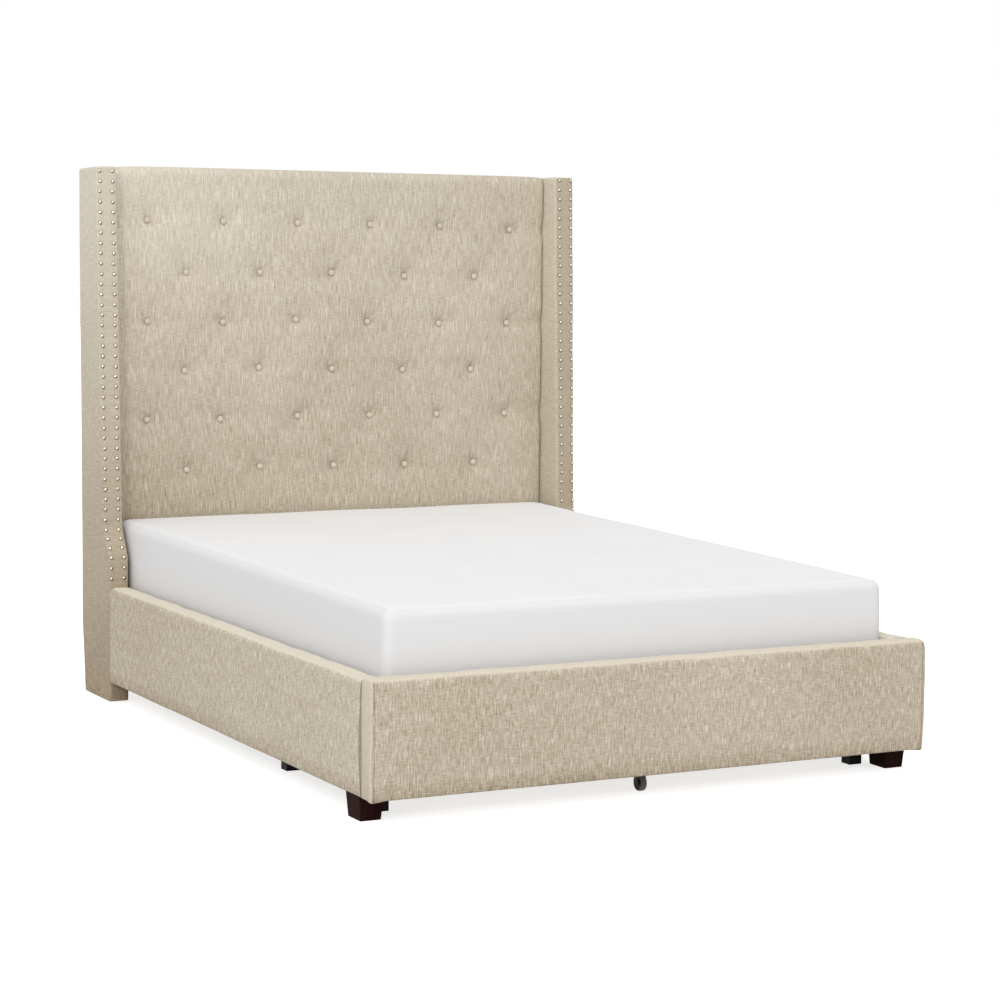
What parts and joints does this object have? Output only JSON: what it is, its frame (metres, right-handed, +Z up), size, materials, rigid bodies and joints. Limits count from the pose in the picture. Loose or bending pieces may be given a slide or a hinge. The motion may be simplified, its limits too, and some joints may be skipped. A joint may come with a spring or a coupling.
{
  "type": "platform bed",
  "caption": "Queen-size platform bed: button-tufted wingback headboard, nailhead trim, upholstered rails and a full-width storage drawer on runners as its footboard, with a plain mattress.",
  "frame": {"origin": "on the floor under the middle of the bed's outer box", "axes": "+Y towards the headboard, +Z up, +X to the right as seen from the foot end"},
  "size_m": [1.684, 2.1979, 1.662],
  "materials": {
    "upholstery": "slubbed linen weave, matt",
    "back_cloth": "plain lining cloth",
    "nailheads": "polished nickel",
    "frame_wood": "planed pine and plywood",
    "leg_wood": "espresso stain, satin",
    "black_wood": "black paint, satin",
    "drawer_wood": "plywood, clear lacquer",
    "steel": "zinc plated",
    "slide_steel": "bright zinc",
    "caster_metal": "black, satin",
    "foot_plastic": "moulded",
    "wheel_plastic": "moulded",
    "wheel_rubber": "grey, matt",
    "mattress_ticking": "plain white knit"
  },
  "bodies": {
    "bed_frame": {"wing_cover_left": "upholstery", "wing_cover_right": "upholstery", "side_rail_cover_left": "upholstery", "side_rail_cover_right": "upholstery", "headboard_tufted_pad": "upholstery", "tufting_buttons": "upholstery", "headboard_back_cover": "back_cloth", "nailheads_left": "nailheads", "nailheads_right": "nailheads", "headboard_post_left": "frame_wood", "headboard_post_right": "frame_wood", "headboard_top_rail": "frame_wood", "headboard_middle_rail": "frame_wood", "headboard_bottom_rail": "frame_wood", "headboard_backboard": "frame_wood", "wing_core_left": "frame_wood", "wing_core_right": "frame_wood", "side_rail_board_left": "frame_wood", "side_rail_board_right": "frame_wood", "slat_ledge_left": "frame_wood", "slat_ledge_right": "frame_wood", "slats": "frame_wood", "front_cross_rail": "frame_wood", "centre_beam": "frame_wood", "front_leg_left": "leg_wood", "front_leg_right": "leg_wood", "centre_beam_legs": "black_wood", "bearer_legs_front": "black_wood", "bearer_legs_rear": "black_wood", "bearer_spacers": "black_wood", "drawer_bearer_left": "black_wood", "drawer_bearer_right": "black_wood", "beam_hangers": "steel", "frame_bolts": "steel", "rail_joint_plate_left": "steel", "rail_joint_plate_right": "steel", "front_corner_bracket_left": "steel", "front_corner_bracket_right": "steel", "slide_fixed_left": "slide_steel", "slide_fixed_right": "slide_steel", "levelling_feet": "foot_plastic", "wing_glides": "foot_plastic", "mattress": "mattress_ticking"},
    "drawer": {"slide_inner_left": "slide_steel", "slide_inner_right": "slide_steel", "drawer_side_left": "drawer_wood", "drawer_side_right": "drawer_wood", "drawer_front_board": "frame_wood", "drawer_front_cover": "upholstery", "drawer_inner_front": "drawer_wood", "drawer_back": "drawer_wood", "drawer_bottom_panel": "drawer_wood", "drawer_divider": "drawer_wood", "drawer_bottom_rib": "drawer_wood", "caster_bracket": "caster_metal", "caster_axle": "steel"},
    "slide_middle_left": {"slide_middle_left": "slide_steel"},
    "slide_middle_right": {"slide_middle_right": "slide_steel"},
    "caster_wheel": {"caster_wheel": "wheel_plastic", "caster_tread": "wheel_rubber"}
  },
  "joints": [
    {"name": "drawer_slide", "type": "slide", "parent": "bed_frame", "child": "drawer", "axis": [0, -1, 0], "range_m": [0, 0.6]},
    {"name": "slide_middle_left_travel", "type": "slide", "parent": "bed_frame", "child": "slide_middle_left", "axis": [0, -1, 0], "range_m": [0, 0.3]},
    {"name": "slide_middle_right_travel", "type": "slide", "parent": "bed_frame", "child": "slide_middle_right", "axis": [0, -1, 0], "range_m": [0, 0.3]},
    {"name": "caster_spin", "type": "hinge", "parent": "drawer", "child": "caster_wheel", "pos_m": [0, -0.989, 0.0225], "axis": [1, 0, 0], "continuous": true}
  ],
  "couplings": [
    {"joint": "slide_middle_left_travel", "follows": "drawer_slide", "ratio": 0.5},
    {"joint": "slide_middle_right_travel", "follows": "drawer_slide", "ratio": 0.5}
  ]
}
